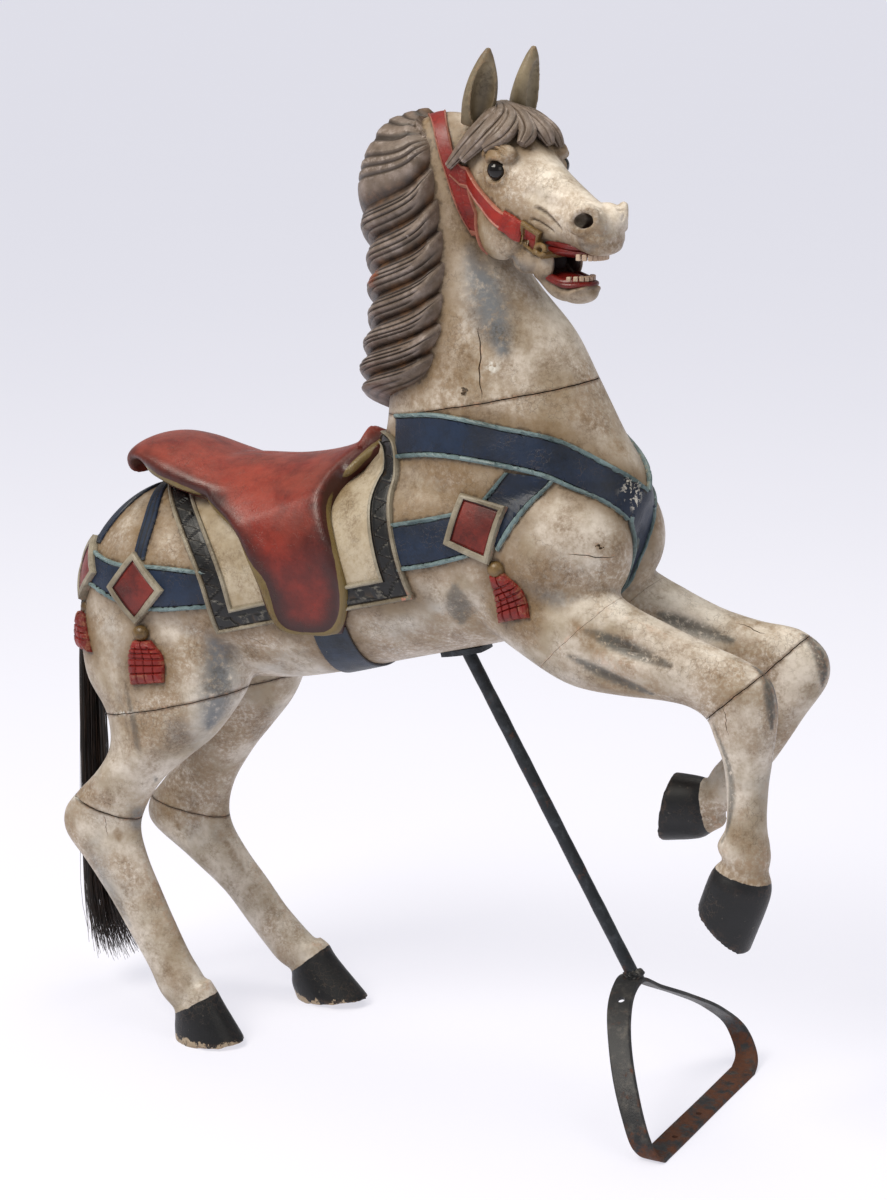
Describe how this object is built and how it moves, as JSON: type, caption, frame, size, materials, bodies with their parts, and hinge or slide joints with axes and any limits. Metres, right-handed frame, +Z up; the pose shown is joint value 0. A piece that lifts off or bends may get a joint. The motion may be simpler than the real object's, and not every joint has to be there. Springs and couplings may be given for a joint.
{
  "type": "carousel horse",
  "caption": "Carved, painted carousel horse, rearing, with saddle, bridle and horsehair tail, held up by an iron prop rod on a bent strap-iron foot; an ornament to stand on a floor.",
  "frame": {"origin": "on the floor, at the middle of the bounding box of the horse and its stand", "axes": "+X the way the horse faces, +Y its left side, +Z up"},
  "size_m": [1.1246, 0.3634, 1.3958],
  "materials": {
    "painted_wood": "aged, crackled and worn oil paint over carved wood, mostly ivory with navy, red and black harness",
    "eye_glass": "polished dark glass",
    "tail_hair": "loose coarse dark horsehair",
    "iron": "blackened wrought iron, rusty at the weld and the base"
  },
  "bodies": {
    "root": {"trunk": "painted_wood", "head_and_neck": "painted_wood", "right_hind_thigh": "painted_wood", "left_hind_thigh": "painted_wood", "right_hind_shank": "painted_wood", "left_hind_shank": "painted_wood", "right_foreleg_upper": "painted_wood", "left_foreleg_upper": "painted_wood", "right_foreleg_lower": "painted_wood", "left_foreleg_lower": "painted_wood", "right_eye": "eye_glass", "left_eye": "eye_glass", "tail": "tail_hair", "belly_plate": "iron", "prop_rod": "iron", "prop_foot": "iron"}
  },
  "joints": []
}
